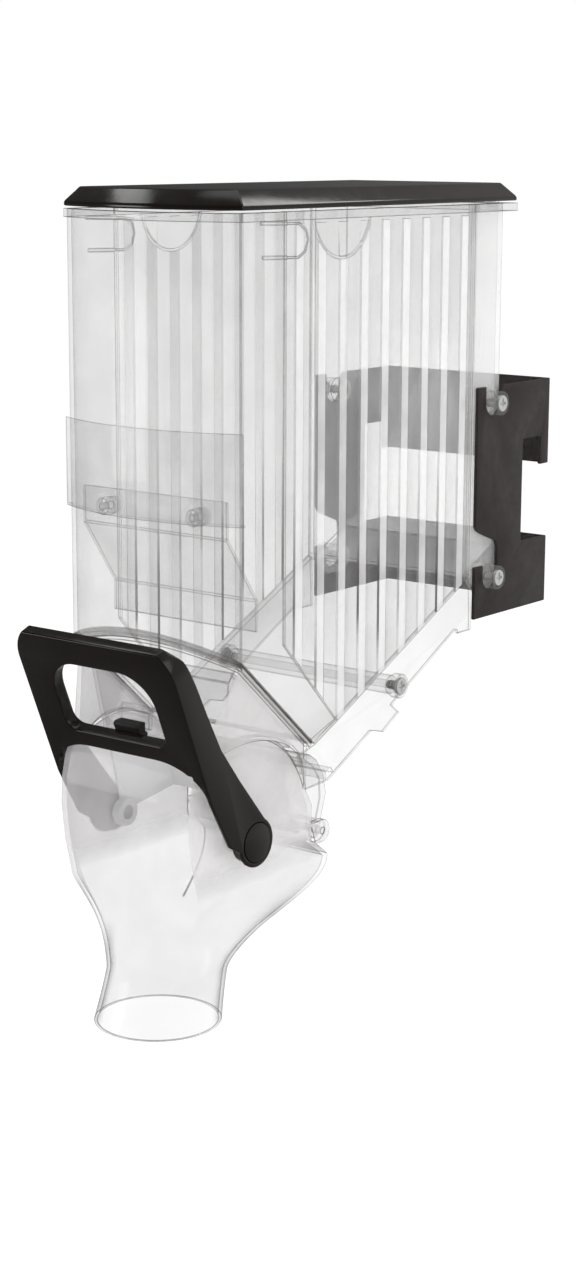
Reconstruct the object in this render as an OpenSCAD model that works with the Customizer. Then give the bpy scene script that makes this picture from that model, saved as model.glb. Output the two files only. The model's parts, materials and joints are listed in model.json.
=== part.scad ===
// Gravity bulk food bin: a clear hopper with a hinged lid, a clear nozzle with a
// sector gate worked by a looped handle, and a steel bracket that hangs on a crossbar.
// X runs across the bin, -Y is the front, +Z is up.
// Side outlines are lists of [y, z] points measured from the bracket's back face
// and bottom edge; seated() then moves every piece so that the origin lies on the
// crossbar seat.

/* [Bracket] */
// Width over the bracket and the hopper
body_w = 152; // [140:1:170]
// Thickness of the bracket's steel
steel_t = 3; // [2:0.5:3.5]
// Height of the bracket
bracket_h = 175; // [170:1:185]
// Depth of the bracket from back to front
bracket_d = 100; // [96:1:102]
// Thickness of the crossbar that the bracket seats on
bar_t = 25.4; // [24:0.1:27]
// Height of the crossbar seat above the bracket's bottom
seat_z = 131; // [120:1:140]

/* [Hopper] */
// Thickness of the clear walls
wall = 2.5; // [2:0.1:3]
// Distance from the bracket's back face to the hopper's front corners
front_y = 378; // [370:1:386]
// How far the front wall bows out in the middle
bow = 17; // [12:1:22]
// Height of the hopper's rim
rim_z = 309; // [290:1:330]
// Number of ribs on each side panel
rib_count = 9; // [5:1:9]
// Distance between ribs
rib_pitch = 24.4; // [18:0.2:25]
// Width of a rib
rib_w = 11; // [8:0.5:12]
// How far a rib stands out of the panel
rib_h = 0.9; // [0.5:0.1:1]

/* [Nozzle] */
// Half width of the nozzle's flat cheeks
cheek_x = 58; // [56:0.5:60]
// Radius of the round cheek about the handle's pivot
cheek_r = 70; // [68:1:72]
// Diameter of the outlet
outlet_d = 90; // [80:1:96]
// Diameter of the waist above the outlet
waist_d = 85; // [76:1:90]

/* [Handle] */
// Half width over the handle's arms
handle_x = 70; // [69:0.5:74]
// Thickness of the handle's plate
plate_t = 10; // [8:0.5:12]
// Thickness of each arm
arm_t = 3; // [2.5:0.5:5]

/* [Hanging studs] */
// Radius of the clear sleeve on each stud
sleeve_r = 9; // [8:0.5:9]
// How far each sleeve reaches out of the bracket
sleeve_out = 8; // [6:0.5:10]

/* [Hidden] */

fine = 96;
gap = 0.4;                       // running gap between pieces that move
half = body_w / 2;
bar_y = -24;                     // middle of the crossbar
origin = [0, bar_y, seat_z];     // the crossbar seat, in the outline's own measure

// Hopper
bow_r = (half * half + bow * bow) / (2 * bow);
bow_y = -front_y - bow + bow_r;
panel_y = -330.5;
back_y = -105.7;
column_x = 72;
column_y = -66;
panel_x = half - 1;
rib_ease = 1.6;
apex = [-271, -44];
v_front = [panel_y, 19.3];
v_back = [back_y, 35.3];
v_wall = v_back - wall * [1, (v_back[1] - apex[1]) / (back_y - apex[0])];
floor_back = [column_y, 54.3];
throat_front = [-366, 5];
throat_back = [-300, -54];
throat_tilt = atan2(throat_back[1] - throat_front[1], throat_back[0] - throat_front[0]);
throat_len = norm(throat_back - throat_front);
seal_t = 1.6;
flange_t = 3;
neck_in = 3.5;
rim_h = 6;
rim_out = 2;
rim_back = -55;

// Lid
lid_z = rim_z + 1.5;
lid_h = 13;
lid_lean = 9;
lid_wall = 2.5;
hinge = [-51, rim_z + 4];
hinge_pin_r = 2;
knuckle_r = 4;

// Label holder
label_z = 106.6;
label_h = 61.4;
label_gap = 1.2;
label_t = 1.3;

// Nozzle
pivot = [-354, -115];
// side outline of the gate's chamber, and the same drawn in by the wall
chamber = [[-393, -38], [-399.5, -48], [-407, -62], [-411, -78], [-412, -97],
    [-409, -122], [-402, -152], [-262, -164], [-256, -158], [-258, -148],
    [-268, -140], [-277, -134], [-277, -108], [-284, -95]];
chamber_in = [[-390.5, -38], [-397, -48], [-404.5, -62], [-408.5, -78], [-409.5, -97],
    [-406.5, -122], [-399.5, -152], [-264.5, -161.5], [-258.6, -157], [-260.3, -149.3],
    [-269.5, -142], [-279.5, -135.3], [-279.5, -108], [-286.5, -95]];
mouth = [[-393, -38], [-398, -46], [-284, -95], [-286, -88]];
mouth_in = [[-390.5, -38], [-395.5, -46], [-286.5, -95], [-288.5, -88]];
waist = [-368, -215];
outlet = [-378.5, -251.5];

// Handle: a plate leaning along a line, with an arm down each side
plate_top = [-440, 14];
plate_tilt = atan2(0.378, 0.926);
plate_s0 = -24;
plate_s1 = 70.5;
plate_corner = 28;
arch_x = 30;
arch_r = 27;
arch_w = 37;
hub_r = 15;
hub_in = 59.5;
hub_floor = 62.5;
cap_r = 14;
pocket_r = 12.5;
pin_r = 5;
sweep_r = 80;

// Gate
gate_r = 58;
gate_t = 2.5;
gate_x = 54.5;
gate_from = 8;
gate_to = 104;

// Springs
wire_r = 0.6;
coil_r = 9.3;
coil_pitch = 1.7;
coil_turns = 2.5;
coil_rings = 8;
wire_sides = 6;
coil_x = 63.6;

// Studs
stud_y = -79.2;
stud_z = [30.5, 162.5];
screw_r = 3;
chute_stud = [-203.3, -31.3];

// Latch
latch_at = [-264, -130];
latch_pin_r = 2.5;
latch_x = 51;

clear = [0.9, 0.93, 0.94, 0.35];
black = [0.12, 0.11, 0.1];

// ---------------------------------------------------------------- helpers

module seated() {
    translate(-origin) children();
}

// A slab with a side outline of [y, z] points, from x0 to x1.
module slab(x0, x1, points) {
    translate([x0, 0, 0])
        rotate([90, 0, 90])
            linear_extrude(x1 - x0)
                polygon(points);
}

// A round bar along X, centred on the [y, z] point at.
module bar(r, x0, x1, at, sides = fine) {
    translate([x0, at[0], at[1]])
        rotate([0, 90, 0])
            cylinder(r = r, h = x1 - x0, $fn = sides);
}

// A box given by two opposite corners.
module block(a, b) {
    translate(a) cube(b - a);
}

module both() {
    children();
    mirror([1, 0, 0]) children();
}

// The hopper's plan from the bowed front back to y1, grown by out all round.
module plan_prism(out, z0, z1, y1) {
    intersection() {
        translate([0, bow_y, z0])
            cylinder(r = bow_r + out, h = z1 - z0, $fn = 240);
        block([-half - out, -front_y - bow - out - 1, z0], [half + out, y1, z1]);
    }
}

// The plane of the joint between hopper and nozzle: local y runs down it to the
// back, and local z points up into the hopper.
module throat_frame() {
    translate([0, throat_front[0], throat_front[1]])
        rotate([throat_tilt, 0, 0])
            children();
}

module throat_slab(z0, z1, y1 = throat_len) {
    throat_frame() block([-200, -90, z0], [200, y1, z1]);
}

// A flat-headed screw along X with a cross recess in its head.
module cross_screw(x_end, length, r, head_r, head_t) {
    difference() {
        union() {
            bar(r, x_end - length, x_end - head_t, [0, 0], 48);
            bar(head_r, x_end - head_t, x_end, [0, 0], 48);
        }
        for (turn = [0, 90])
            rotate([turn, 0, 0])
                block([x_end - head_t * 0.6, -head_r * 0.62, -head_r * 0.16],
                    [x_end + 1, head_r * 0.62, head_r * 0.16]);
    }
}

// ---------------------------------------------------------------- bracket

module rail_bracket() {
    slot_r = sleeve_r + gap;
    bar_top = seat_z;
    bar_front = bar_y - bar_t / 2;
    bar_back = bar_y + bar_t / 2;
    color("dimgray") seated() {
        difference() {
            block([-half, -bracket_d, 0], [half, 0, bracket_h]);
            block([-half + steel_t, -bracket_d - 1, -1], [half - steel_t, -steel_t, bracket_h + 1]);
            // notch for the crossbar, with a hook behind its upper half
            block([-half - 1, bar_front, 52], [half + 1, 1, 109]);
            block([-half - 1, bar_front, 100], [half + 1, bar_back, bar_top]);
            // upper slot, open at the top
            both() {
                bar(slot_r, half - steel_t - 1, half + 1, [stud_y, stud_z[1]]);
                block([half - steel_t - 1, stud_y - slot_r, stud_z[1]],
                    [half + 1, stud_y + slot_r, bracket_h + 1]);
                slab(half - steel_t - 1, half + 1, [[stud_y, bracket_h + 1],
                    [stud_y + slot_r - 1, bracket_h - 6], [stud_y + slot_r + 6, bracket_h + 1]]);
                // lower slot, entered from the front
                bar(slot_r, half - steel_t - 1, half + 1, [stud_y, stud_z[0]]);
                block([half - steel_t - 1, stud_y - slot_r, stud_z[0]],
                    [half + 1, stud_y + slot_r, 52]);
                slab(half - steel_t - 1, half + 1, [[-bracket_d - 1, 40], [stud_y, 40],
                    [stud_y + slot_r, 52], [stud_y + slot_r - 2, 57], [-94, 65.5],
                    [-98, 68], [-bracket_d - 1, 73]]);
            }
        }
    }
}

// ---------------------------------------------------------------- hopper

module hopper_front() {
    side = [[-front_y - bow - 2, rim_z], [-front_y - bow - 2, -60], [-305, -59.7],
        apex, v_front, [panel_y, rim_z]];
    corner_bead = [[-359, 303], [-318, 302], [-310, 297], [-308, 290], [-311, 282], [-319, 278],
        [-357, 279], [-357, 281], [-319.5, 280], [-312.7, 283.3], [-310, 290], [-311.5, 295.6],
        [-318.4, 300], [-359, 301]];
    color(clear) seated() {
        difference() {
            intersection() {
                plan_prism(0, -70, rim_z, -260);
                slab(-half, half, side);
            }
            plan_prism(-wall, -80, rim_z + 1, -250);
            throat_slab(-100, 0, throat_len + 20);
        }
        both() slab(half, half + 0.8, corner_bead);
    }
}

module ribbed_panel() {
    z_top = rim_z - 8;
    difference() {
        union() {
            slab(panel_x - wall, panel_x, [[panel_y, rim_z], v_front, apex, v_wall,
                [v_wall[0], rim_z]]);
            for (i = [0 : rib_count - 1])
                translate([panel_x, panel_y + 14 + i * rib_pitch, -60])
                    linear_extrude(z_top + 60)
                        polygon([[-1, -rib_w / 2], [0, -rib_w / 2], [rib_h, -rib_w / 2 + rib_ease],
                            [rib_h, rib_w / 2 - rib_ease], [0, rib_w / 2], [-1, rib_w / 2]]);
        }
        // the ribs end on the slope below
        slab(0, half + 4, [[panel_y - 1, -80], [panel_y - 1, v_front[1]], v_front, apex, v_back,
            [back_y + 1, v_back[1]], [back_y + 1, -80]]);
        bar(31, panel_x + 0.01, half + 4, [-270, rim_z]);
    }
    // round finger recess under the rim
    difference() {
        bar(33, panel_x, half + 0.8, [-270, rim_z]);
        bar(31.2, panel_x - 1, half + 4, [-270, rim_z]);
        block([0, -400, rim_z - rim_h], [half + 5, 0, rim_z + 60]);
    }
}

module side_panel_right() {
    color(clear) seated() ribbed_panel();
}

module side_panel_left() {
    color(clear) seated() mirror([1, 0, 0]) ribbed_panel();
}

module rear_column() {
    color(clear) seated()
        difference() {
            union() {
                difference() {
                    union() {
                        slab(-column_x, column_x, [[back_y - wall, rim_z], [back_y - wall, 34],
                            v_back, floor_back, [column_y, rim_z]]);
                        slab(-half, half, [[back_y - wall, rim_z], [back_y - wall, 34], v_back,
                            [back_y, rim_z]]);
                    }
                    block([-column_x + wall, back_y - 10, -10],
                        [column_x - wall, column_y - wall, rim_z + 1]);
                }
                // the sloping floor's last stretch
                slab(-column_x, column_x, [v_back, floor_back, floor_back - [0, 2.8],
                    v_back - [0, 2.8]]);
                // ears below the floor, and lugs for the hanging studs
                both() {
                    slab(column_x - wall, column_x, [v_back, v_back - [0, 4], [-92, 17],
                        [-68, 17], floor_back - [0, 4], floor_back]);
                    for (z = stud_z)
                        bar(sleeve_r, column_x - 10, column_x, [stud_y, z]);
                }
            }
            both()
                for (z = stud_z)
                    bar(screw_r, column_x - 11, column_x + 1, [stud_y, z], 48);
        }
}

module chute_floor() {
    drop = [0, -2.8];
    color(clear) seated()
        slab(-panel_x + wall, panel_x - wall, [throat_back + [3, 1], apex, v_wall,
            v_wall + drop, apex + drop, throat_back + [3, 1] + drop]);
}

module chute_skirts() {
    color(clear) seated() {
        difference() {
            both()
                slab(half - wall, half, [[-297, -56], [-316, -61], [-307.4, -87], [-281, -86],
                    [-229.9, -60.3], [-215, -64], [-195.3, -53], [-204.5, -45.9], [-123, -3.1],
                    [-121.5, -7], [-104, -7], [-104, 8], [back_y, v_back[1] - 3], v_wall, apex]);
            both() bar(screw_r, half - wall - 1, half + 1, chute_stud, 48);
        }
        // lip across the lower end, which the latch hooks
        slab(-half + wall, half - wall, [[-281, -86], [-281, -80], [-276, -77.5], [-273, -82]]);
    }
}

// Cross tube between the skirts, which their screws pull tight.
module chute_brace() {
    color(clear) seated()
        difference() {
            bar(7, -half + wall, half - wall, chute_stud, 64);
            bar(screw_r, -half, half, chute_stud, 48);
        }
}

module top_rim() {
    color(clear) seated() {
        difference() {
            plan_prism(rim_out, rim_z - rim_h, rim_z, rim_back);
            plan_prism(0, rim_z - rim_h - 1, rim_z + 1, panel_y);
            block([-panel_x, panel_y - 1, rim_z - rim_h - 1], [panel_x, back_y, rim_z + 1]);
            block([-half, back_y - wall, rim_z - rim_h - 1], [half, back_y + wall, rim_z + 1]);
            block([-column_x, back_y, rim_z - rim_h - 1], [column_x, column_y, rim_z + 1]);
        }
        // knuckles for the lid's hinge pins
        both()
            difference() {
                union() {
                    bar(knuckle_r, 51, 58, hinge, 48);
                    slab(51, 58, [[rim_back - 2, rim_z - 3], [rim_back - 2, rim_z],
                        [rim_back, rim_z], [hinge[0] - 3.6, hinge[1] + 1],
                        [hinge[0] + 3.4, hinge[1] - 2], [rim_back + 2, rim_z - 3]]);
                }
                bar(hinge_pin_r, 50, 59, hinge, 48);
            }
    }
}

module label_holder() {
    reach = label_gap + label_t;
    color(clear) seated()
        difference() {
            plan_prism(reach, label_z, label_z + label_h, -front_y + 1);
            plan_prism(label_gap, label_z + 1.5, label_z + label_h + 1, -front_y + 5);
            plan_prism(0, label_z - 1, label_z + 5, -front_y + 5);
            block([-half - 3, -front_y - 1, label_z + 1.5], [-half, -front_y + 5, label_z + 80]);
            block([half, -front_y - 1, label_z + 1.5], [half + 3, -front_y + 5, label_z + 80]);
        }
}

// Sloping plate inside the front wall that steadies the flow.
module flow_baffle() {
    color(clear) seated()
        difference() {
            union() {
                slab(-64, 64, [[-379, 122], [-379, 96], [-348.5, 51], [-348.5, 30], [-346, 30],
                    [-346, 52], [-376.5, 97], [-376.5, 122]]);
                both()
                    translate([40, -377, 110])
                        rotate([90, 0, 0]) cylinder(r = 6, h = 8.8, $fn = 64);
            }
            both() translate([40, -375, 110]) rotate([90, 0, 0]) cylinder(r = 2.5, h = 14, $fn = 48);
        }
}

module baffle_screws() {
    color("silver") seated()
        both()
            translate([40, -376.5, 110]) {
                rotate([90, 0, 0]) cylinder(r = 2.5, h = 10, $fn = 48);
                rotate([-90, 0, 0]) cylinder(r = 6, h = 4, $fn = 48);
            }
}

// ---------------------------------------------------------------- lid

module lid_shell(inset, z0, top) {
    hull() {
        plan_prism(1.5 - inset, z0, lid_z + 3, rim_back - 0.5 - inset);
        plan_prism(1.5 - lid_lean - inset, lid_z + 3, top, rim_back - lid_lean - inset);
    }
}

module lid() {
    color(black) seated() {
        difference() {
            lid_shell(0, lid_z, lid_z + lid_h);
            lid_shell(lid_wall, lid_z - 1, lid_z + lid_h - lid_wall);
        }
        // knuckles that turn on the hinge pins
        both()
            difference() {
                union() {
                    bar(knuckle_r, 40, 50.5, hinge, 48);
                    slab(40, 50.5, [[rim_back - 1, lid_z + 0.2], [rim_back - 1, lid_z + 5],
                        [hinge[0] + 1, hinge[1] + 3.8], [hinge[0] - 3, hinge[1] - 2.4]]);
                }
                bar(hinge_pin_r + 0.05, 39, 52, hinge, 48);
            }
    }
}

module lid_hinge_pins() {
    color("silver") seated() both() bar(hinge_pin_r, 38.5, 58, hinge, 48);
}

// ---------------------------------------------------------------- studs

module hanger_sleeves() {
    color(clear) seated()
        both()
            for (z = stud_z)
                difference() {
                    bar(sleeve_r, column_x, half + sleeve_out, [stud_y, z]);
                    bar(screw_r, column_x - 1, half + sleeve_out + 1, [stud_y, z], 48);
                    bar(6.2, half + sleeve_out - 2.5, half + sleeve_out + 1, [stud_y, z], 48);
                }
}

module hanger_screws() {
    color("silver") seated()
        both()
            for (z = stud_z)
                translate([0, stud_y, z])
                    cross_screw(half + sleeve_out + 0.4, 22, screw_r, 6, 2.9);
}

module chute_sleeves() {
    color(clear) seated()
        both()
            difference() {
                bar(sleeve_r, half, half + 6.5, chute_stud);
                bar(screw_r, half - 1, half + 8, chute_stud, 48);
                bar(6.2, half + 4, half + 8, chute_stud, 48);
            }
}

module chute_screws() {
    color("silver") seated()
        both()
            translate([0, chute_stud[0], chute_stud[1]])
                cross_screw(half + 6.9, 12, screw_r, 6, 2.9);
}

// ---------------------------------------------------------------- nozzle

module nozzle_seal() {
    color("gray") seated()
        difference() {
            intersection() {
                plan_prism(0, -70, 60, -260);
                throat_slab(-seal_t, 0);
            }
            intersection() {
                plan_prism(-5, -80, 70, -250);
                throat_slab(-10, 10, throat_len - 4);
            }
        }
}

// Neck that widens from the chamber's mouth to the throat, round the flat cheeks.
module neck(inset, z0, z1, mouth_points) {
    difference() {
        hull() {
            intersection() {
                plan_prism(-neck_in - inset, -80, 80, -250);
                throat_slab(z0, z1, throat_len - 1 - inset);
            }
            slab(-cheek_x + inset, cheek_x - inset, mouth_points);
        }
        both() bar(cheek_r + inset, cheek_x - inset, cheek_x + 40, pivot);
    }
}

// Lower funnel from the chamber to the waist.
module funnel(inset) {
    x = cheek_x - inset;
    hull() {
        slab(-x, x, [[-409 + inset, -122], [-402 + inset, -152], [-262 - inset, -162 + inset],
            [-258 - inset, -150 - inset]]);
        translate([0, waist[0], waist[1] - inset / 4])
            cylinder(d = waist_d - 2 * inset, h = 1, $fn = 48);
    }
}

// Tube from the waist to the outlet, leaning a little forward.
module spout_tube(inset, extra) {
    hull() {
        translate([0, waist[0], waist[1]])
            cylinder(d = waist_d - 2 * inset, h = 1, $fn = 48);
        translate([0, outlet[0], outlet[1] - extra])
            cylinder(d = outlet_d - 2 * inset, h = 1, $fn = 48);
    }
}

module nozzle_housing() {
    x_in = cheek_x - wall;
    color(clear) seated() {
        difference() {
            union() {
                intersection() {
                    plan_prism(0, -80, 80, -250);
                    throat_slab(-seal_t - flange_t, -seal_t);
                }
                neck(0, -seal_t - 1, -seal_t, mouth);
                slab(-cheek_x, cheek_x, chamber);
                funnel(0);
                spout_tube(0, 0);
                both() {
                    bar(8.5, cheek_x - 5, cheek_x, latch_at, 64);
                    slab(cheek_x - 5, cheek_x, [[-278, -122], [-264, -121.5], [-264, -138.5],
                        [-272, -138.2]]);
                }
            }
            neck(wall, -seal_t - 1, 2, mouth_in);
            slab(-x_in, x_in, chamber_in);
            funnel(wall);
            spout_tube(wall, 2);
            both() bar(pin_r + 0.06, cheek_x - 10, cheek_x + 5, pivot);
            both() bar(latch_pin_r, cheek_x - 10, cheek_x + 5, latch_at, 48);
        }
    }
}

// Inner funnel that leads the food onto the gate.
module funnel_core(inset) {
    hull() {
        throat_frame()
            block([-63 + inset, -4 + inset, -10], [63 - inset, 80 - inset, inset - 2]);
        slab(-53 + inset, 53 - inset, [[-370 + inset, -66], [-312, -100 - inset],
            [-302 - inset, -94], [-366 + inset, -58]]);
    }
}

module throat_funnel() {
    color(clear) seated()
        difference() {
            funnel_core(0);
            funnel_core(2);
            bar(gate_r + 1.2, -80, 80, pivot);
            both() bar(cheek_r + wall + gap, cheek_x - wall - gap, 80, pivot);
        }
}

module stop_block() {
    color(clear) seated()
        slab(-14, 14, [[-397.4, -36], [-401, -36], [-401, -24], [-396.6, -20]]);
}

module stop_bumper() {
    color(black) seated()
        slab(-11, 11, [[-401, -36], [-401, -30], [-408.5, -30.5], [-410, -32.5], [-407.9, -37],
            [-405.4, -43], [-399.8, -43], [-398, -38]]);
}

// ---------------------------------------------------------------- gate and handle

// A ring sector about the pivot's axis, from angle a0 to a1 measured from +Y.
module sector(r0, r1, x0, x1, a0, a1) {
    translate([x0, pivot[0], pivot[1]])
        rotate([90, 0, 90])
            rotate([0, 0, a0])
                rotate_extrude(angle = a1 - a0, $fn = fine)
                    translate([r0, 0])
                        square([r1 - r0, x1 - x0]);
}

module gate() {
    color([0.95, 0.95, 0.95, 0.7]) seated()
        difference() {
            union() {
                sector(gate_r - gate_t, gate_r, -gate_x, gate_x, gate_from, gate_to);
                both() {
                    sector(6, gate_r - 1, gate_x - gate_t, gate_x, gate_from, gate_to);
                    bar(10, gate_x - 7, gate_x, pivot);
                }
            }
            both() bar(pin_r, gate_x - 10, gate_x + 5, pivot);
        }
}

// Outline of one arm with the edge of the plate: front edge, round end, back edge.
module arm_outline() {
    union() {
        polygon([[-449.5, 27], [-446, 30.5], [-439.5, 34], [-428, 24.5], [-418, 8], [-404, -19],
            [-391.6, -42], [-372.7, -66.6], [-340, -106], pivot + [0, 5], [-371, -119],
            [-383, -112], [-404, -75], [-408, -66], [-424, -28], [-440, 14]]);
        translate(pivot) circle(r = 17.5, $fn = fine);
    }
}

// Outer outline of the handle in the plate's own plane, drawn in by inset: x across,
// y down along the plate.
module rounded_top(inset) {
    corner = plate_corner - inset;
    x = handle_x - inset;
    top = plate_s0 + inset;
    translate([-x, top + corner]) square([2 * x, 200]);
    translate([-x + corner, top]) square([2 * (x - corner), 60]);
    for (side = [-1, 1])
        translate([side * (x - corner), top + corner]) circle(r = corner, $fn = fine);
}

// The opening for the fingers, wide and round at the top, narrower below.
module finger_hole() {
    top_r = 26;
    low_r = 9;
    for (side = [-1, 1]) {
        translate([side * (45 - top_r), 2.5 + top_r]) circle(r = top_r, $fn = fine);
        translate([side * (45 - low_r), 58.5 - low_r]) circle(r = low_r, $fn = 64);
    }
    translate([top_r - 45, 2.5]) square([90 - 2 * top_r, 30]);
    translate([-45, 2.5 + top_r]) square([90, 58.5 - low_r - top_r - 2.5]);
    translate([-36, 30]) square([72, 28.5]);
}

// Edge of the space between the arms: flat under the plate, then curving into them.
function arch_side(side, angles) =
    [for (a = angles) [side * (arch_x + arch_w * sin(a)), plate_s1 + arch_r * (1 - cos(a))]];

module arch() {
    x = arch_x + arch_w;
    polygon(concat(arch_side(-1, [0 : 6 : 90]), [[-x, 300], [x, 300]],
        arch_side(1, [90 : -6 : 0])));
}

module handle() {
    color(black) seated()
        difference() {
            union() {
                intersection() {
                    slab_arm(-handle_x, handle_x);
                    plate_frame() {
                        linear_extrude(plate_t)
                            difference() {
                                rounded_top(0);
                                finger_hole();
                                arch();
                            }
                        // flange that runs round the top and down into the arms
                        linear_extrude(60)
                            difference() {
                                rounded_top(0);
                                rounded_top(arm_t);
                            }
                    }
                }
                both() bar(hub_r, hub_in, handle_x - arm_t, pivot);
            }
            // room for the nozzle at every angle
            bar(sweep_r, -hub_in, hub_in, pivot);
            both() {
                bar(pocket_r, hub_floor, handle_x + 1, pivot);
                bar(cap_r, handle_x - 1.4, handle_x + 1, pivot);
                bar(pin_r, hub_in - 1, hub_floor + 1, pivot);
                // slot that lets the spring's fixed leg pass while the handle turns
                sector(coil_r - 1.1, coil_r + 1.1, hub_in - 1, hub_floor + 1, 150, 225);
            }
        }
}

module slab_arm(x0, x1) {
    translate([x0, 0, 0])
        rotate([90, 0, 90])
            linear_extrude(x1 - x0)
                arm_outline();
}

// Local x across, local y down the plate, local z from the front face to the back.
module plate_frame() {
    translate([0, plate_top[0], plate_top[1]])
        rotate([plate_tilt - 90, 0, 0])
            children();
}

module pivot_pins() {
    color("silver") seated()
        both()
            difference() {
                bar(pin_r, gate_x - 7, hub_floor, pivot);
                bar(2, hub_floor - 8, hub_floor + 1, pivot, 48);
            }
}

module pivot_screws() {
    color("silver") seated()
        both()
            translate([0, pivot[0], pivot[1]])
                cross_screw(hub_floor + 3, 10.5, 2, 6.5, 3);
}

module pivot_caps() {
    color(black) seated()
        both() bar(cap_r - 0.1, handle_x - 1.4, handle_x + 0.4, pivot);
}

// Points along one torsion spring: a fixed leg, the coils, and a short outer leg.
function spring_path() = concat(
    [for (x = [hub_in - 1, hub_floor]) [x, coil_r, 0]],
    [for (i = [0 : coil_turns * coil_rings])
        let (a = i * 360 / coil_rings)
        [coil_x + i * coil_pitch / coil_rings, coil_r * cos(a), coil_r * sin(a)]]);

function unit(v) = v / norm(v);

function tangent(p, i) = unit(p[min(i + 1, len(p) - 1)] - p[max(i - 1, 0)]);

// Corners of one ring of the wire, square to the path.
function ring(p, i) =
    let (t = tangent(p, i),
        out = unit([0, p[i][1], p[i][2]]),
        u = unit(out - (out * t) * t),
        w = cross(t, u))
    [for (k = [0 : wire_sides - 1])
        p[i] + wire_r * (cos(k * 360 / wire_sides) * u + sin(k * 360 / wire_sides) * w)];

module wire(p) {
    n = len(p);
    points = [for (i = [0 : n - 1]) each ring(p, i)];
    sides = [for (i = [0 : n - 2], k = [0 : wire_sides - 1])
        let (a = i * wire_sides + k,
            b = i * wire_sides + (k + 1) % wire_sides,
            c = b + wire_sides,
            d = a + wire_sides)
        each [[a, b, c], [a, c, d]]];
    first = [for (k = [1 : wire_sides - 2]) [0, k + 1, k]];
    last = [for (k = [1 : wire_sides - 2]) (n - 1) * wire_sides * [1, 1, 1] + [0, k, k + 1]];
    polyhedron(points, concat(sides, first, last));
}

// Least distance between two rings of the wire that are more than half a coil apart.
function coil_gap(p) = min([for (i = [0 : len(p) - 1], k = [i + 1 : len(p) - 1])
    if (k - i > coil_rings / 2) norm(p[i] - p[k]) - 2 * wire_r]);

echo(spring_gap = coil_gap(spring_path()));

module return_springs() {
    color("silver") seated()
        both()
            translate([0, pivot[0], pivot[1]])
                rotate([160, 0, 0])
                    wire(spring_path());
}

// ---------------------------------------------------------------- latch

module nozzle_latch() {
    color(clear) seated()
        difference() {
            union() {
                bar(7, -latch_x, latch_x, latch_at, 64);
                // hook that reaches up and over the skirts' lip
                slab(-latch_x, latch_x, [[-263.5, -123.5], [-258.5, -108], [-259.5, -94],
                    [-266, -84], [-273.2, -78.6], [-278.5, -75.5], [-277, -71.5], [-270, -73.5],
                    [-262, -79], [-254, -91], [-250.5, -106], [-257.5, -127]]);
                // thumb pad
                slab(-22, 22, [[-262, -136.5], [-253, -137.5], [-246.5, -144], [-243.5, -142.5],
                    [-247.5, -134], [-257.5, -126]]);
            }
            bar(latch_pin_r + 0.05, -latch_x - 1, latch_x + 1, latch_at, 48);
        }
}

module latch_pin() {
    color("silver") seated() bar(latch_pin_r, -cheek_x, cheek_x, latch_at, 48);
}

rail_bracket();
hopper_front();
side_panel_left();
side_panel_right();
rear_column();
chute_floor();
chute_skirts();
chute_brace();
top_rim();
label_holder();
flow_baffle();
baffle_screws();
lid();
lid_hinge_pins();
hanger_sleeves();
hanger_screws();
chute_sleeves();
chute_screws();
nozzle_seal();
nozzle_housing();
throat_funnel();
stop_block();
stop_bumper();
gate();
handle();
pivot_pins();
pivot_screws();
pivot_caps();
return_springs();
nozzle_latch();
latch_pin();
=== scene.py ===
import json
import math

import bmesh
import bpy
from mathutils import Matrix, Vector

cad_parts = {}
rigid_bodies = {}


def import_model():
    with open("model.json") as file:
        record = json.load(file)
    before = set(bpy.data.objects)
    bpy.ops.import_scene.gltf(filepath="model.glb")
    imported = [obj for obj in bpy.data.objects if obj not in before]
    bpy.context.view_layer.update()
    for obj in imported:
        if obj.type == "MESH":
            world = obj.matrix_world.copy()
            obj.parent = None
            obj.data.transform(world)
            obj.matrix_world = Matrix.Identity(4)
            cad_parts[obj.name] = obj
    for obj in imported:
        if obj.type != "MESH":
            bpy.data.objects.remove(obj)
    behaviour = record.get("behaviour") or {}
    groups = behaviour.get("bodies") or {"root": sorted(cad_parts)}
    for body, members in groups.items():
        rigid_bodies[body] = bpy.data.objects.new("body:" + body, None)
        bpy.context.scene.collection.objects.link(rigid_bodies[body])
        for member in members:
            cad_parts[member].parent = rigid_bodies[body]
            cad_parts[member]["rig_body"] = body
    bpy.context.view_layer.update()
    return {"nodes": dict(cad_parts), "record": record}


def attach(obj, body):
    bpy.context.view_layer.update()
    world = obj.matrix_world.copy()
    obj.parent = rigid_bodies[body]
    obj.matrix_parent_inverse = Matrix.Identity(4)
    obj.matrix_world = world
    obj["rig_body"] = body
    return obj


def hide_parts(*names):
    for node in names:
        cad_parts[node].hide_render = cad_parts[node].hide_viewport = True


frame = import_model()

scene = bpy.context.scene
NODES = frame["nodes"]
BODY_OF = {n: o["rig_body"] for n, o in NODES.items()}
SLOT_OF = {s["node"]: s["material_slot"] for s in frame["record"]["subparts"]}
MM = 0.001
LIFT = Vector((0.0, 0.024, -0.131))  # from the side outline's own measure to the row frame


def at(x, y, z):
    """A point given in millimetres from the bracket's back face and bottom edge."""
    return Vector((x * MM, y * MM, z * MM)) + LIFT


def level(z):
    """The height in the row frame of a level given in millimetres, as at() takes it."""
    return at(0, 0, z).z


# ---------------------------------------------------------------- camera
CAMERA_TURN = (37.9, 12.2, 0.2)              # yaw, pitch downwards and roll, in degrees
CAMERA_PLACE = (1.0320, -1.5324, 0.2286)
FOCAL_PX = 2350.0                            # focal length in the photograph's pixels
FRAME_PX = 1280.0                            # the photograph's longer side
SENSOR_MM = 36.0


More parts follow.
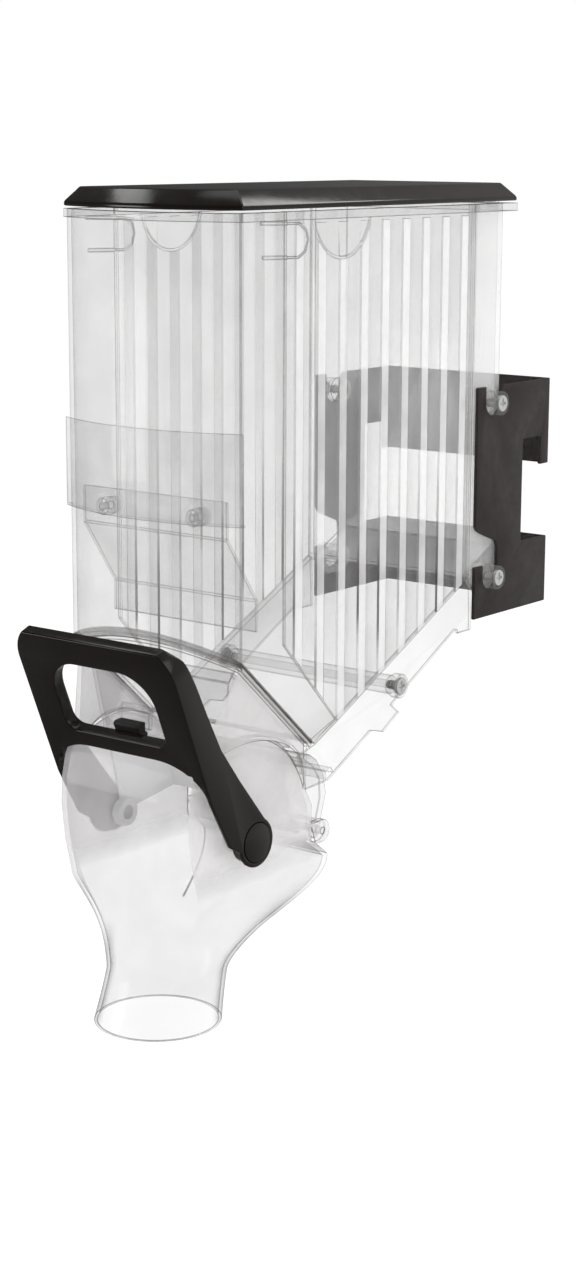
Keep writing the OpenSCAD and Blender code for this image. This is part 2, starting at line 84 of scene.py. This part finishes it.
def make_camera():
    yaw, pitch, roll = (math.radians(a) for a in CAMERA_TURN)
    forward = Vector((-math.sin(yaw) * math.cos(pitch), math.cos(yaw) * math.cos(pitch),
                      -math.sin(pitch)))
    right = Vector((math.cos(yaw), math.sin(yaw), 0.0))
    up = right.cross(forward)
    right, up = (right * math.cos(roll) + up * math.sin(roll),
                 up * math.cos(roll) - right * math.sin(roll))
    turn = Matrix((right, up, -forward)).transposed()
    data = bpy.data.cameras.new("photo_camera")
    data.sensor_width = SENSOR_MM
    data.lens = FOCAL_PX / FRAME_PX * SENSOR_MM
    data.clip_start = 0.05
    data.clip_end = 50.0
    cam = bpy.data.objects.new("photo_camera", data)
    cam.matrix_world = Matrix.Translation(CAMERA_PLACE) @ turn.to_4x4()
    scene.collection.objects.link(cam)
    scene.camera = cam


make_camera()
scene.view_settings.view_transform = "Standard"
scene.cycles.max_bounces = 24
scene.cycles.transmission_bounces = 24
scene.cycles.transparent_max_bounces = 48


# ---------------------------------------------------------------- node helpers
WHITE = (1.0, 1.0, 1.0)


class Tree:
    """A node tree, with short ways to add nodes. Patterns follow the coordinate coord."""

    def __init__(self, owner, coord):
        owner.use_nodes = True
        self.nt = owner.node_tree
        self.nt.nodes.clear()
        self.coord = self.add("ShaderNodeTexCoord").outputs[coord]

    def add(self, kind, **settings):
        node = self.nt.nodes.new(kind)
        for key, value in settings.items():
            setattr(node, key, value)
        return node

    def feed(self, socket, value):
        """Gives a socket a constant, or a link from another node's output."""
        if isinstance(value, bpy.types.NodeSocket):
            self.nt.links.new(value, socket)
        elif socket.type == "RGBA":
            socket.default_value = (*value, 1.0)
        else:
            socket.default_value = value

    def put(self, node, **values):
        """Feeds sockets by name, with _ for each space in the name."""
        for key, value in values.items():
            self.feed(node.inputs[key.replace("_", " ")], value)
        return node

    def ramp(self, value, low, high, out_low, out_high):
        node = self.put(self.add("ShaderNodeMapRange"), Value=value, From_Min=low, From_Max=high,
                        To_Min=out_low, To_Max=out_high)
        return node.outputs[0]

    def math(self, kind, a, b, clamp=False):
        node = self.add("ShaderNodeMath", operation=kind, use_clamp=clamp)
        self.feed(node.inputs[0], a)
        self.feed(node.inputs[1], b)
        return node.outputs[0]

    def dot(self, direction):
        """How far the coordinate lies along a direction."""
        node = self.add("ShaderNodeVectorMath", operation="DOT_PRODUCT")
        self.feed(node.inputs[0], self.coord)
        self.feed(node.inputs[1], direction)
        return node.outputs["Value"]

    def rays(self):
        """Two switches: rays seen by the camera, also through clear pieces, and reflected rays."""
        path = self.add("ShaderNodeLightPath")
        seen = self.math("MAXIMUM", path.outputs["Is Camera Ray"],
                         path.outputs["Is Transmission Ray"])
        return seen, path.outputs["Is Glossy Ray"]


class Surface(Tree):
    """A material's tree: one Principled shader, and the patterns that feed it."""

    def __init__(self, name):
        self.mat = bpy.data.materials.new(name)
        super().__init__(self.mat, "Object")
        self.shader = self.add("ShaderNodeBsdfPrincipled")
        out = self.add("ShaderNodeOutputMaterial")
        self.feed(out.inputs["Surface"], self.shader.outputs[0])

    def set(self, **values):
        self.put(self.shader, **values)

    def along(self, axis):
        """The coordinate along one axis."""
        node = self.add("ShaderNodeSeparateXYZ")
        self.feed(node.inputs[0], self.coord)
        return node.outputs[axis]

    def stretched(self, *scale):
        """The coordinate, scaled by axis."""
        return self.put(self.add("ShaderNodeMapping"), Vector=self.coord, Scale=scale).outputs[0]

    def noise(self, scale, detail=3.0, rough=0.5, vector=None):
        node = self.put(self.add("ShaderNodeTexNoise"), Vector=vector or self.coord, Scale=scale,
                        Detail=detail, Roughness=rough)
        return node.outputs["Fac"]

    def grain(self, scale, low, high, detail=3.0):
        """Fine noise, spread from low to high."""
        return self.ramp(self.noise(scale, detail), 0.3, 0.7, low, high)

    def cloud(self, scale, low, high):
        """Noise with broader flat stretches, spread from low to high."""
        return self.ramp(self.noise(scale), 0.35, 0.65, low, high)

    def mix(self, fac, a, b):
        node = self.add("ShaderNodeMix", data_type="RGBA")
        for index, value in ((0, fac), (6, a), (7, b)):  # the factor and the two colours
            self.feed(node.inputs[index], value)
        return node.outputs[2]

    def bump(self, height, distance, strength):
        node = self.put(self.add("ShaderNodeBump"), Height=height, Distance=distance,
                        Strength=strength)
        self.set(Normal=node.outputs[0])

    def glow(self, strength):
        """White light that the surface gives off."""
        self.set(Emission_Color=WHITE, Emission_Strength=strength)


# ---------------------------------------------------------------- materials
PLASTIC_IOR = 1.585


def powder_steel():
    """Finely textured black powder coat."""
    t = Surface("powder_steel")
    t.set(Base_Color=t.mix(t.grain(38.0, 0.0, 1.0, 4.0), (0.027, 0.020, 0.020), (0.037, 0.029, 0.028)),
          Roughness=t.grain(140.0, 0.4, 0.52), Specular_IOR_Level=0.3)
    t.bump(t.noise(1400.0, 2.0), 0.00012, 0.5)
    return t.mat


def black_gloss():
    """Glossy black plastic of the lid and the handle."""
    t = Surface("black_gloss")
    t.set(Base_Color=t.mix(t.cloud(22.0, 0.0, 1.0), (0.0065, 0.0042, 0.0028), (0.0092, 0.0064, 0.0046)),
          Roughness=t.grain(90.0, 0.12, 0.2, 5.0), Specular_IOR_Level=0.4)
    t.bump(t.noise(260.0), 0.00006, 0.4)
    return t.mat


def steel(name, tint, rough):
    """Bright steel with drawing lines along X."""
    t = Surface(name)
    lines = t.noise(160.0, 4.0, 0.6, t.stretched(1.0, 14.0, 14.0))
    shade = tuple(c * 0.82 for c in tint)
    t.set(Base_Color=t.mix(t.ramp(lines, 0.3, 0.7, 0.0, 1.0), shade, tint), Metallic=0.75,
          Roughness=t.ramp(lines, 0.3, 0.7, rough, rough + 0.14))
    t.bump(lines, 0.00004, 0.5)
    return t.mat


def rubber(name, tint, rough):
    t = Surface(name)
    worn = tuple(c * 1.35 for c in tint)
    t.set(Base_Color=t.mix(t.grain(120.0, 0.0, 1.0, 4.0), tint, worn),
          Roughness=t.grain(300.0, rough, rough + 0.12))
    t.bump(t.noise(1100.0, 2.0), 0.0001, 0.5)
    return t.mat


def clear(name, tint, edge_tone, body, rim, start=0.12, power=2.0, painted_glow=0.0):
    """Clear moulding: nearly invisible face on, fuller where it is seen along its surface.

    body and rim are how much it covers face on and along itself. Its last argument is a painted glow,
    standing in for the light that a thick piece guides along itself to the face that is seen.
    """
    t = Surface(name)
    facing = t.put(t.add("ShaderNodeLayerWeight"), Blend=0.35).outputs["Facing"]
    slant = t.math("POWER", facing, power)
    cover = t.math("MULTIPLY", t.cloud(26.0, 0.85, 1.15), t.ramp(slant, start, 1.0, body, rim))
    # Where the piece is seen along its surface its colour turns to edge_tone: painted shade, standing
    # in for the dark lines that refraction draws at clear edges.
    t.set(Base_Color=t.mix(t.ramp(slant, start, 0.9, 0.0, 1.0), tint, edge_tone),
          Alpha=t.math("MINIMUM", cover, 1.0), Roughness=t.grain(60.0, 0.05, 0.1),
          IOR=PLASTIC_IOR, Specular_IOR_Level=1.0)
    # Painted glow: white light given off, standing in for the light that a thick piece guides along
    # itself.
    t.glow(painted_glow)
    t.bump(t.noise(45.0, 2.0), 0.0002, 0.25)
    return t.mat


def cheek():
    """The nozzle's cheeks: slightly frosted above, with a painted glow there, as clear as the spout
    further down.
    """
    t = Surface("clear_cheek")
    frost = t.ramp(t.along("Z"), level(-150), level(-126), 0.0, 1.0)
    cover = t.math("MULTIPLY", t.cloud(30.0, 0.85, 1.1), t.ramp(frost, 0.0, 1.0, 0.085, 0.5))
    t.set(Base_Color=t.mix(frost, NOZZLE_TINT, (0.86, 0.84, 0.84)), Alpha=cover,
          Roughness=t.grain(60.0, 0.08, 0.16), IOR=PLASTIC_IOR)
    # A painted glow on the frosted part, standing in for light scattered through it.
    t.glow(t.math("MULTIPLY", frost, 0.1))
    return t.mat


def rib_edge():
    """Sloping flanks of the ribs: pale above, with painted shade in dark broken streaks towards the
    slope below.
    """
    t = Surface("clear_rib_edge")
    low = t.ramp(t.along("Z"), level(150), level(40), 0.0, 1.0)
    streak = t.ramp(t.noise(1.0, 2.0, 0.5, t.stretched(1.0, 40.0, 7.0)), 0.47, 0.56, 0.0, 1.0)
    # Painted shade: dark broken streaks low on the flanks, standing in for the shade that the clear
    # ribs refract there.
    painted_streak_shade = t.math("MULTIPLY", low, streak)
    t.set(Base_Color=t.mix(painted_streak_shade, (0.5, 0.49, 0.49), (0.06, 0.05, 0.05)),
          Alpha=t.ramp(painted_streak_shade, 0.0, 1.0, 0.34, 0.85), Roughness=0.15)
    return t.mat


def seal():
    """Translucent strip, darker along the hopper's sides where it is seen through its own depth."""
    t = Surface("seal_rubber")
    side = t.ramp(t.math("ABSOLUTE", t.along("X"), 0.0), 0.066, 0.073, 0.0, 1.0)
    tone = t.math("MULTIPLY", side, t.grain(120.0, 0.8, 1.0, 4.0))
    t.set(Base_Color=t.mix(tone, (0.42, 0.40, 0.40), (0.09, 0.07, 0.07)),
          Alpha=t.ramp(tone, 0.0, 1.0, 0.4, 0.9), Roughness=t.grain(300.0, 0.4, 0.55))
    t.bump(t.noise(900.0, 2.0), 0.0001, 0.4)
    return t.mat


def gate_plastic():
    """Milky moulding, white above, with painted shade that greys it towards the pivot, and a painted
    glow.
    """
    t = Surface("frosted_gate")
    low = t.ramp(t.along("Z"), level(-72), level(-118), 0.0, 1.0)
    # Painted shade, broken by grain: greyer towards the pivot, as the rounded gate's shading.
    painted_shade = t.math("MULTIPLY", low, t.grain(34.0, 0.75, 1.1), clamp=True)
    t.set(Base_Color=t.mix(painted_shade, (0.93, 0.93, 0.935), (0.6, 0.6, 0.605)), Alpha=0.93,
          Roughness=t.grain(80.0, 0.28, 0.4))
    # A painted glow, standing in for light scattered through the milky plastic.
    t.glow(0.12)
    t.bump(t.noise(60.0, 2.0), 0.0002, 0.3)
    return t.mat


# SMOKE_RIM and the other edge tones below are painted shade, where the plastic is seen along its
# surface.
SMOKE = (0.46, 0.455, 0.455)         # the hopper's plastic seen face on
SMOKE_RIM = (0.3, 0.29, 0.29)        # and along its surface
NOZZLE_TINT = (0.37, 0.35, 0.36)
# Each slot's material, followed in the clear slots by that of the rounded edges, which is painted
# darker as shade along the edges
MATERIALS = {
    "powder_steel": [powder_steel()],
    "black_gloss": [black_gloss()],
    "screw_steel": [steel("screw_steel", (0.86, 0.855, 0.84), 0.26)],
    "spring_steel": [steel("spring_steel", (0.6, 0.6, 0.6), 0.25)],
    "seal_rubber": [seal()],
    "bumper_rubber": [rubber("bumper_rubber", (0.010, 0.009, 0.009), 0.55)],
    "clear_wall": [
        clear("clear_wall", SMOKE, SMOKE_RIM, 0.1, 0.8),
        clear("clear_wall_edge", (0.2, 0.19, 0.19), (0.18, 0.17, 0.17), 0.5, 0.85)],
    "clear_trim": [
        clear("clear_trim", SMOKE, SMOKE_RIM, 0.12, 0.8),
        clear("clear_trim_edge", (0.22, 0.21, 0.21), (0.2, 0.19, 0.19), 0.45, 0.8)],
    "clear_nozzle": [
        clear("clear_nozzle", NOZZLE_TINT, (0.06, 0.048, 0.042), 0.085, 0.98, start=0.1, power=2.5),
        clear("clear_nozzle_edge", (0.1, 0.08, 0.07), (0.08, 0.065, 0.06), 0.6, 0.92)],
    "frosted_gate": [gate_plastic()],
}
# Materials of single nodes: the ribs' crests and flanks, the rear column, the nozzle's cheeks
# The ribs' crests and the rear column carry a painted glow, standing in for the light that their
# thickness guides to the face that is seen.
RIB = [clear("clear_rib", (0.93, 0.93, 0.935), (0.7, 0.69, 0.69), 0.55, 0.85, painted_glow=0.18),
       rib_edge()]
COLUMN = clear("clear_column", (0.88, 0.875, 0.875), (0.35, 0.34, 0.34), 0.22, 0.8, painted_glow=0.18)
CHEEK = cheek()


# ---------------------------------------------------------------- the nozzle's lower half
# Millimetres, as at() takes them. The moulded loft starts at the cut, below the pivot.
CUT_Z = -150.0
CHAMBER_HALF = 58.0          # half width, front and back of the chamber at the cut
CHAMBER_FRONT = -402.5
CHAMBER_BACK = -257.6
WAIST_Z = -215.0             # round from here down
WAIST_RADIUS = 42.5
WAIST_Y = -368.0
OUTLET_Z = -251.5
OUTLET_RADIUS = 45.0
OUTLET_Y = -378.5
ROWS = 26
WALL = 2.5

CORNER_X = 55.0              # the chamber's upright front corners lie further out than this,
CORNER_Y = -389.0            # before this
CORNER_TOP = -44.0           # and below this
CORNER_RADIUS = 8.5
CORNER_LENGTH = 2.0          # a shorter edge isn't upright enough to be one
RIM_STEP = 4.0               # length of the edges that the cut's rims are divided into


def ease(t, smooth):
    """0 to 1: straight at smooth 0, and with level ends at smooth 1."""
    return (1.0 - smooth) * t + smooth * t * t * (3.0 - 2.0 * t)


def between(a, b, t):
    return a + (b - a) * t


def nozzle_row(z, inset):
    """Half width, front, back and roundness of the nozzle at height z, drawn in by inset."""
    if z >= WAIST_Z:
        t = (CUT_Z - z) / (CUT_Z - WAIST_Z)
        half = between(CHAMBER_HALF, WAIST_RADIUS, ease(t, 0.3) ** 1.15)
        front = between(CHAMBER_FRONT, WAIST_Y - WAIST_RADIUS, ease(t, 1.0))
        back = between(CHAMBER_BACK, WAIST_Y + WAIST_RADIUS, ease(t, 0.75) ** 1.45)
        roundness = ease(t, 1.0)
    else:
        t = (WAIST_Z - z) / (WAIST_Z - OUTLET_Z)
        half = between(WAIST_RADIUS, OUTLET_RADIUS, t ** 1.6)
        middle = between(WAIST_Y, OUTLET_Y, t)
        front, back, roundness = middle - half, middle + half, 1.0
    return half - inset, front + inset, back - inset, roundness


def loft_down(bm, loop, inset):
    """Rows of faces from a cut loop of the chamber down to the outlet."""
    half, front, back, _ = nozzle_row(CUT_Z, inset)
    centre, deep = (front + back) / 2, (back - front) / 2
    origin = at(0, 0, 0)
    starts = []
    for vert in loop:
        x = (vert.co.x - origin.x) / MM / half
        y = ((vert.co.y - origin.y) / MM - centre) / deep
        starts.append((x, y, math.atan2(y, x)))
    ring = loop
    for row in range(1, ROWS + 1):
        z = CUT_Z + (OUTLET_Z - CUT_Z) * row / ROWS
        half, front, back, roundness = nozzle_row(z, inset)
        centre, deep = (front + back) / 2, (back - front) / 2
        fresh = []
        for x, y, angle in starts:
            turn = roundness ** (1.3 if y > 0 else 0.65)  # the back corners stay square for longer
            px = x * (1 - turn) + math.cos(angle) * turn
            py = y * (1 - turn) + math.sin(angle) * turn
            fresh.append(bm.verts.new(at(px * half, centre + py * deep, z)))
        for i in range(len(ring)):
            k = (i + 1) % len(ring)
            bm.faces.new((ring[i], ring[k], fresh[k], fresh[i]))
        ring = fresh


def boundary(bm):
    return [e for e in bm.edges if len(e.link_faces) == 1]


def open_loops(bm):
    """The boundary edges' vertices as ordered loops, the one that reaches furthest in X first."""
    rim = boundary(bm)
    left = set(rim)
    loops = []
    for edge in rim:
        if edge not in left:
            continue
        left.discard(edge)
        loop = [edge.verts[0], edge.verts[1]]
        while True:
            step = next((e for e in loop[-1].link_edges if e in left), None)
            if step is None:
                break
            left.discard(step)
            vert = step.other_vert(loop[-1])
            if vert is loop[0]:
                break
            loop.append(vert)
        loops.append(loop)
    return sorted(loops, key=lambda vs: -max(v.co.x for v in vs))


def is_front_corner(edge):
    """Whether an edge is one of the chamber's upright front corners."""
    front, top = at(0, CORNER_Y, 0).y, level(CORNER_TOP)
    inside = all(v.co.y < front and abs(v.co.x) > CORNER_X * MM and v.co.z < top
                 for v in edge.verts)
    upright = abs(edge.verts[0].co.z - edge.verts[1].co.z) > CORNER_LENGTH * MM
    return (inside and upright and len(edge.link_faces) == 2
            and edge.calc_face_angle(0.0) > math.radians(60))


def mould_nozzle(bm):
    """Rounds the chamber's front corners and swaps the faceted funnel for a smooth loft."""
    bmesh.ops.bisect_plane(bm, geom=bm.verts[:] + bm.edges[:] + bm.faces[:], dist=1e-6,
                           plane_co=(0, 0, level(CUT_Z)), plane_no=(0, 0, 1), clear_inner=True)
    corners = [e for e in bm.edges if is_front_corner(e)]
    bmesh.ops.bevel(bm, geom=corners, offset=CORNER_RADIUS * MM, offset_type="OFFSET", segments=6,
                    profile=0.5, affect="EDGES", clamp_overlap=True)
    step = RIM_STEP * MM
    for edge in [e for e in boundary(bm) if e.calc_length() > step]:
        bmesh.ops.subdivide_edges(bm, edges=[edge], cuts=int(edge.calc_length() / step))
    loops = open_loops(bm)
    if len(loops) != 2:
        raise RuntimeError("the nozzle's cut has %d loops" % len(loops))
    loft_down(bm, loops[0], 0.0)
    loft_down(bm, loops[1], WALL)
    bmesh.ops.bridge_loops(bm, edges=boundary(bm))
    bmesh.ops.recalc_face_normals(bm, faces=bm.faces)


# ---------------------------------------------------------------- pieces from the CAD nodes
# How far each CAD node's edges are rounded, in millimetres
ROUNDING = {
    "rail_bracket": 0.8, "lid": 1.2, "handle": 1.3, "pivot_caps": 0.5, "stop_bumper": 1.0,
    "hanger_screws": 0.35, "chute_screws": 0.35, "pivot_screws": 0.35, "baffle_screws": 0.5,
    "lid_hinge_pins": 0.4, "pivot_pins": 0.4, "latch_pin": 0.4, "label_holder": 0.4,
    "side_panel_left": 0.3, "side_panel_right": 0.3, "nozzle_latch": 1.0,
    "hanger_sleeves": 0.6, "chute_sleeves": 0.6, "nozzle_seal": 0.3, "top_rim": 0.5,
}
OTHER_ROUNDING = 0.6
FINE_ROUNDING = 0.9          # below this, two segments are enough
LEAST_ROUNDING = 0.05
WELD = 0.002                 # points closer than this are one
CHEEK_X = 53.0               # the nozzle's cheeks lie further out than this
RIB_CREST_X = (75.6, 76.2)   # where the middle of a rib's crest lies, from the mid plane
RIB_FLANK_X = (75.1, 75.6)   # and that of a flank


def area(mesh):
    mesh.calc_loop_triangles()
    return sum(t.area for t in mesh.loop_triangles)


def settle(piece, bevel, width, lo, hi):
    """Applies the rounding, narrower where it would fold over itself, inside the box lo to hi."""
    most = area(piece.data) * 1.004
    while True:
        bevel.width = width
        depsgraph = bpy.context.evaluated_depsgraph_get()
        mesh = bpy.data.meshes.new_from_object(piece.evaluated_get(depsgraph))
        if area(mesh) < most or width < LEAST_ROUNDING * MM:
            break
        bpy.data.meshes.remove(mesh)
        width *= 0.75
    for vert in mesh.vertices:
        vert.co = [min(max(c, a), b) for c, a, b in zip(vert.co, lo, hi)]
    mesh.name = piece.name
    piece.modifiers.clear()
    piece.data = mesh
    mesh.set_sharp_from_angle(angle=math.radians(40))


def paint_cheeks(bm):
    for face in bm.faces:
        middle = face.calc_center_median()
        outer = abs(face.normal.x) > 0.9 and abs(middle.x) > CHEEK_X * MM
        if outer and middle.z > level(CUT_Z):
            face.material_index = 1


def paint_ribs(bm):
    for face in bm.faces:
        x = face.calc_center_median().x
        reach = abs(x) / MM
        if face.normal.x * x <= 0 or abs(face.normal.x) <= 0.2:
            continue
        if RIB_CREST_X[0] < reach < RIB_CREST_X[1]:
            face.material_index = 1
        elif RIB_FLANK_X[0] < reach <= RIB_FLANK_X[1]:
            face.material_index = 2


def paint(node, bm):
    """Sets each face's material index, and returns the node's list of materials."""
    finish = list(MATERIALS[SLOT_OF[node]])
    for face in bm.faces:
        face.smooth = True
        face.material_index = 0
    if node == "rear_column":
        finish[0] = COLUMN
    if node == "nozzle_housing":
        finish[1:1] = [CHEEK]
        paint_cheeks(bm)
    if node.startswith("side_panel"):
        finish[1:1] = RIB
        paint_ribs(bm)
    return finish


def rounded(node):
    """Adds a copy of a CAD node with its edges rounded off, which stands for the node."""
    mesh = NODES[node].data.copy()
    mesh.materials.clear()
    bm = bmesh.new()
    bm.from_mesh(mesh)
    bmesh.ops.remove_doubles(bm, verts=bm.verts, dist=WELD * MM)
    bmesh.ops.dissolve_limit(bm, angle_limit=math.radians(0.4), verts=bm.verts, edges=bm.edges,
                             use_dissolve_boundaries=False)
    lo = [min(v.co[i] for v in bm.verts) for i in range(3)]
    hi = [max(v.co[i] for v in bm.verts) for i in range(3)]
    if node == "nozzle_housing":
        mould_nozzle(bm)
    finish = paint(node, bm)
    bm.to_mesh(mesh)
    bm.free()
    if "custom_normal" in mesh.attributes:
        mesh.attributes.remove(mesh.attributes["custom_normal"])
    for mat in finish:
        mesh.materials.append(mat)
    piece = bpy.data.objects.new(node + "_moulded", mesh)
    scene.collection.objects.link(piece)
    width = ROUNDING.get(node, OTHER_ROUNDING)
    bevel = piece.modifiers.new("rounding", "BEVEL")
    bevel.segments = 2 if width < FINE_ROUNDING else 4
    bevel.limit_method = "ANGLE"
    bevel.angle_limit = math.radians(32)
    bevel.use_clamp_overlap = False
    bevel.loop_slide = True
    bevel.miter_outer = "MITER_ARC"
    bevel.material = len(finish) - 1
    settle(piece, bevel, width * MM, lo, hi)
    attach(piece, BODY_OF[node])
    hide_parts(node)


# ---------------------------------------------------------------- return springs
# Millimetres. X is measured from the mid plane; the coils wind about the pivot.
PIVOT_Y = -354.0
PIVOT_Z = -115.0
LEG_X = (58.7, 60.2, 61.6)   # points of the fixed leg, towards the coils
COIL_X = 63.6
COIL_R = 9.3
COIL_PITCH = 1.7
COIL_TURNS = 2.5
COIL_LEAD = 160.0            # degrees at which the coils begin
STEPS_A_TURN = 40
WIRE_R = 0.55
WIRE_SIDES = 12


def spring_path(side):
    """Points along the middle of the wire: the fixed leg, then the coils."""
    lead = math.radians(COIL_LEAD)
    path = [(x, lead) for x in LEG_X]
    steps = int(COIL_TURNS * STEPS_A_TURN)
    path += [(COIL_X + COIL_PITCH * COIL_TURNS * i / steps,
              lead + 2 * math.pi * COIL_TURNS * i / steps) for i in range(steps + 1)]
    return [Vector((side * x, PIVOT_Y + COIL_R * math.cos(a), PIVOT_Z + COIL_R * math.sin(a)))
            for x, a in path]


def wire_rings(bm, points):
    """A ring of vertices round each point, square to the wire."""
    rings = []
    for i, p in enumerate(points):
        along = (points[min(i + 1, len(points) - 1)] - points[max(i - 1, 0)]).normalized()
        out = Vector((0, p.y - PIVOT_Y, p.z - PIVOT_Z)).normalized()
        out = (out - along * out.dot(along)).normalized()
        cross = along.cross(out)
        ring = []
        for k in range(WIRE_SIDES):
            a = 2 * math.pi * k / WIRE_SIDES
            q = p + WIRE_R * (math.cos(a) * out + math.sin(a) * cross)
            ring.append(bm.verts.new(at(q.x, q.y, q.z)))
        rings.append(ring)
    return rings


def wound_spring(side):
    """A torsion spring of round wire about the pivot, on the right for side 1, left for -1."""
    bm = bmesh.new()
    rings = wire_rings(bm, spring_path(side))
    for a, b in zip(rings, rings[1:]):
        for k in range(WIRE_SIDES):
            n = (k + 1) % WIRE_SIDES
            bm.faces.new((a[k], a[n], b[n], b[k]))
    bm.faces.new(rings[0])
    bm.faces.new(rings[-1])
    bmesh.ops.recalc_face_normals(bm, faces=bm.faces)
    for face in bm.faces:
        face.smooth = len(face.verts) == 4
    mesh = bpy.data.meshes.new("return_spring")
    bm.to_mesh(mesh)
    bm.free()
    mesh.materials.append(MATERIALS["spring_steel"][0])
    name = "return_spring_right" if side > 0 else "return_spring_left"
    piece = bpy.data.objects.new(name, mesh)
    scene.collection.objects.link(piece)
    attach(piece, BODY_OF["return_springs"])
    return piece


for node in NODES:
    if node != "return_springs":
        rounded(node)
for spring in (wound_spring(1), wound_spring(-1)):
    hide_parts("return_springs")


# ---------------------------------------------------------------- floor, world and lamps
AWAY = (0.66, 0.72, 0.0)     # level, away from the camera's side of the room
UP = (0.0, 0.0, 1.0)
FLOOR_HALF = 30.0
FLOOR_LEVEL = -0.52
MIDDLE = (0.0, -0.2, 0.0)


def make_floor():
    """White where the camera sees it, dark but lit on the far side in reflections.

    Other light bounces off it as off pale grey.
    """
    bm = bmesh.new()
    bmesh.ops.create_grid(bm, x_segments=24, y_segments=24, size=FLOOR_HALF)
    mesh = bpy.data.meshes.new("floor")
    bm.to_mesh(mesh)
    bm.free()
    floor = bpy.data.objects.new("floor", mesh)
    floor.location = (0.0, 0.0, FLOOR_LEVEL)
    scene.collection.objects.link(floor)
    t = Surface("floor")
    seen, glossy = t.rays()
    sheen = t.ramp(t.dot(AWAY), -0.3, 1.4, 0.08, 0.55)
    grey = t.mix(glossy, (0.86, 0.86, 0.86), (0.1, 0.1, 0.1))
    t.set(Base_Color=t.mix(seen, grey, (0.3, 0.3, 0.3)), Roughness=0.9, Specular_IOR_Level=0.0)
    t.glow(t.math("ADD", t.math("MULTIPLY", seen, 0.83), t.math("MULTIPLY", glossy, sheen)))
    mesh.materials.append(t.mat)


def make_world():
    """White where the camera sees it; reflections see a room that is dark on the camera's side."""
    world = bpy.data.worlds.new("studio")
    scene.world = world
    t = Tree(world, "Generated")

    def background(strength):
        return t.put(t.add("ShaderNodeBackground"), Color=WHITE, Strength=strength).outputs[0]

    def blend(fac, a, b):
        node = t.add("ShaderNodeMixShader")
        for socket, value in zip(node.inputs, (fac, a, b)):
            t.feed(socket, value)
        return node.outputs[0]

    seen, glossy = t.rays()
    room = t.math("ADD", t.ramp(t.dot(AWAY), 0.1, 1.0, 0.07, 0.55),
                  t.ramp(t.dot(UP), 0.25, 1.0, 0.0, 0.15))
    lit = blend(glossy, background(0.6), background(room))
    out = t.add("ShaderNodeOutputWorld")
    t.feed(out.inputs["Surface"], blend(seen, lit, background(1.0)))


def softbox(name, place, target, width, height, power):
    data = bpy.data.lights.new(name, "AREA")
    data.shape = "RECTANGLE"
    data.size = width
    data.size_y = height
    data.energy = power
    lamp = bpy.data.objects.new(name, data)
    lamp.location = place
    lamp.rotation_euler = (Vector(target) - Vector(place)).to_track_quat("-Z", "Y").to_euler()
    scene.collection.objects.link(lamp)


make_floor()
make_world()
softbox("key", (0.9, 1.2, 1.5), MIDDLE, 0.9, 0.7, 13.0)
softbox("lid_strip", (-1.24, -0.5, 1.48), (0.0, -0.36, 0.18), 0.8, 0.35, 3.2)
softbox("front", (-1.6, -1.95, 0.05), MIDDLE, 0.8, 1.0, 11.0)
softbox("fill", (2.0, -0.1, 0.9), MIDDLE, 1.2, 1.2, 6.0)
softbox("top", (0.0, -0.1, 2.0), MIDDLE, 1.4, 1.4, 9.0)
